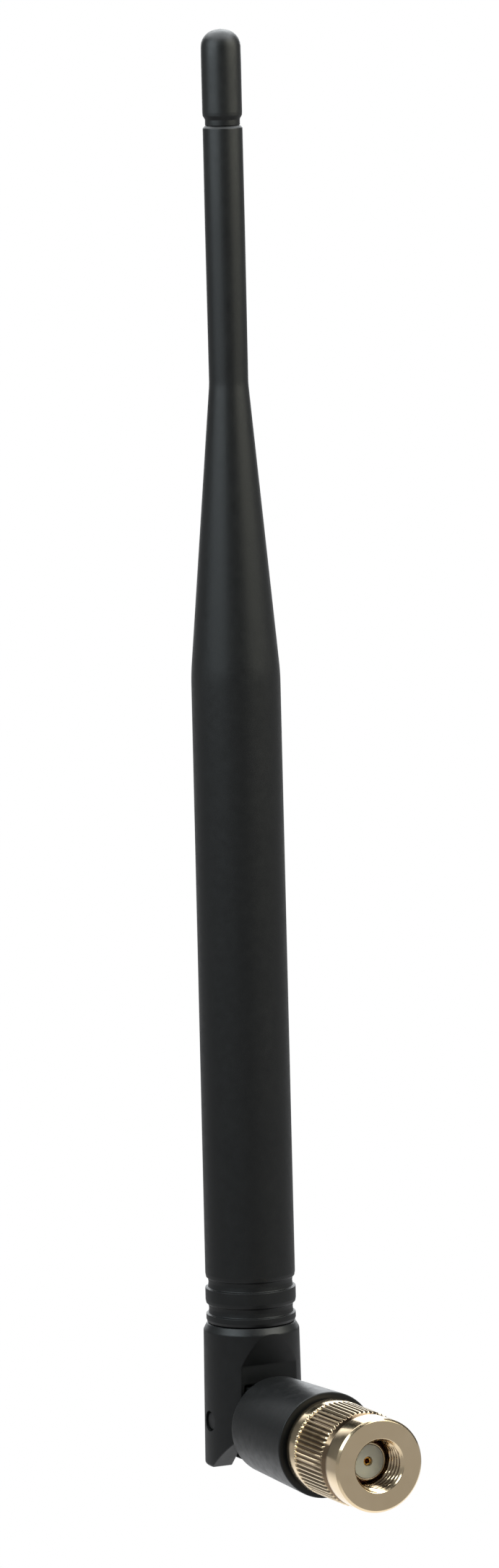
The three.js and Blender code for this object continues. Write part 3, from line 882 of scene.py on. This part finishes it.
def make_floor():
    """Pale floor that glows: plain white to the camera, and to other rays a glow, brighter near the object, that
    lights it faintly from below.
    """
    bm = bmesh.new()
    bmesh.ops.create_grid(bm, x_segments=1, y_segments=1, size=3.0)
    mesh = bpy.data.meshes.new("floor")
    bm.to_mesh(mesh)
    bm.free()
    floor = new_object("floor", mesh)
    floor.location.z = cad_low.z - FLOOR_DROP
    shader = Shader("floor")
    nodes, links = shader.tree.nodes, shader.tree.links
    glow = nodes.new("ShaderNodeEmission")
    links.new(shader.mix(shader.noise(3), (0.95, 0.97, 1.0), (1.0, 1.0, 1.0)), glow.inputs["Color"])
    offset = nodes.new("ShaderNodeVectorMath")
    offset.operation = "SUBTRACT"
    offset.inputs[1].default_value = BEHIND * 0.05
    links.new(shader.place, offset.inputs[0])
    distance = nodes.new("ShaderNodeVectorMath")
    distance.operation = "LENGTH"
    links.new(offset.outputs["Vector"], distance.inputs[0])
    # The floor's glow is strongest near the object and fades to a weaker glow farther out.
    strength = shader.spread(distance.outputs["Value"], FLOOR_NEAR, FLOOR_FAR, 0.05, 0.12)
    links.new(strength, glow.inputs["Strength"])
    links.new(white_to_camera(nodes, links, glow.outputs[0]), nodes["Material Output"].inputs["Surface"])
    floor.data.materials.append(shader.material)


def make_panel(name, azimuth, low, high, distance, width, radiance, color):
    """Upright soft panel facing the mast, heights in mm. Azimuth 0 is the -Y side and 90 the +X side."""
    angle = math.radians(azimuth)
    away = Vector((math.sin(angle), -math.cos(angle), 0))
    height = (high - low) * MM
    data = bpy.data.lights.new(name, "AREA")
    data.shape = "RECTANGLE"
    data.size, data.size_y = width, height
    data.energy = radiance * math.pi * width * height
    data.color = color
    light = bpy.data.objects.new(name, data)
    light.location = PIN + away * distance + Vector((0, 0, (low + high) / 2 * MM))
    light.rotation_mode = "QUATERNION"
    light.rotation_quaternion = away.to_track_quat("Z", "Y")
    bpy.context.scene.collection.objects.link(light)


def make_overhead(name, height, width, radiance, color):
    """Square soft light straight above the object, a little behind it."""
    data = bpy.data.lights.new(name, "AREA")
    data.size = width
    data.energy = radiance * math.pi * width ** 2
    data.color = color
    light = bpy.data.objects.new(name, data)
    light.location = PIN + Vector((0, 0, height)) + BEHIND * 0.1
    bpy.context.scene.collection.objects.link(light)


def make_world():
    """Plain white to the camera. The light on the object comes mostly from behind and above it."""
    world = bpy.data.worlds.new("world")
    bpy.context.scene.world = world
    world.use_nodes = True
    nodes, links = world.node_tree.nodes, world.node_tree.links
    nodes.clear()
    place = nodes.new("ShaderNodeTexCoord")
    total = None
    for toward, start, end, strength in WORLD_LOBES:
        facing = nodes.new("ShaderNodeVectorMath")
        facing.operation = "DOT_PRODUCT"
        facing.inputs[1].default_value = Vector(toward).normalized()
        links.new(place.outputs["Generated"], facing.inputs[0])
        lobe = nodes.new("ShaderNodeMapRange")
        lobe.interpolation_type = "SMOOTHSTEP"
        ends = (("From Min", start), ("From Max", end), ("To Min", 0.0), ("To Max", strength))
        for name, value in ends:
            lobe.inputs[name].default_value = value
        links.new(facing.outputs["Value"], lobe.inputs["Value"])
        added = nodes.new("ShaderNodeMath")
        added.inputs[1].default_value = WORLD_BASE
        links.new(lobe.outputs["Result"], added.inputs[0])
        if total:
            links.new(total, added.inputs[1])
        total = added.outputs["Value"]
    lit = nodes.new("ShaderNodeBackground")
    lit.inputs["Color"].default_value = (0.95, 0.98, 1.0, 1)
    links.new(total, lit.inputs["Strength"])
    out = nodes.new("ShaderNodeOutputWorld")
    links.new(white_to_camera(nodes, links, lit.outputs[0]), out.inputs["Surface"])


make_floor()
make_panel("panel_left", -78, 140, 440, 0.3, 0.34, 4.4, (0.84, 0.95, 1.0))
make_panel("panel_right", 42, 140, 440, 0.3, 0.32, 3.2, (1.0, 1.0, 0.84))
make_overhead("overhead", 0.36, 0.4, 4.5, (0.93, 0.97, 1.0))
make_world()
bpy.context.scene.view_settings.view_transform = "Standard"
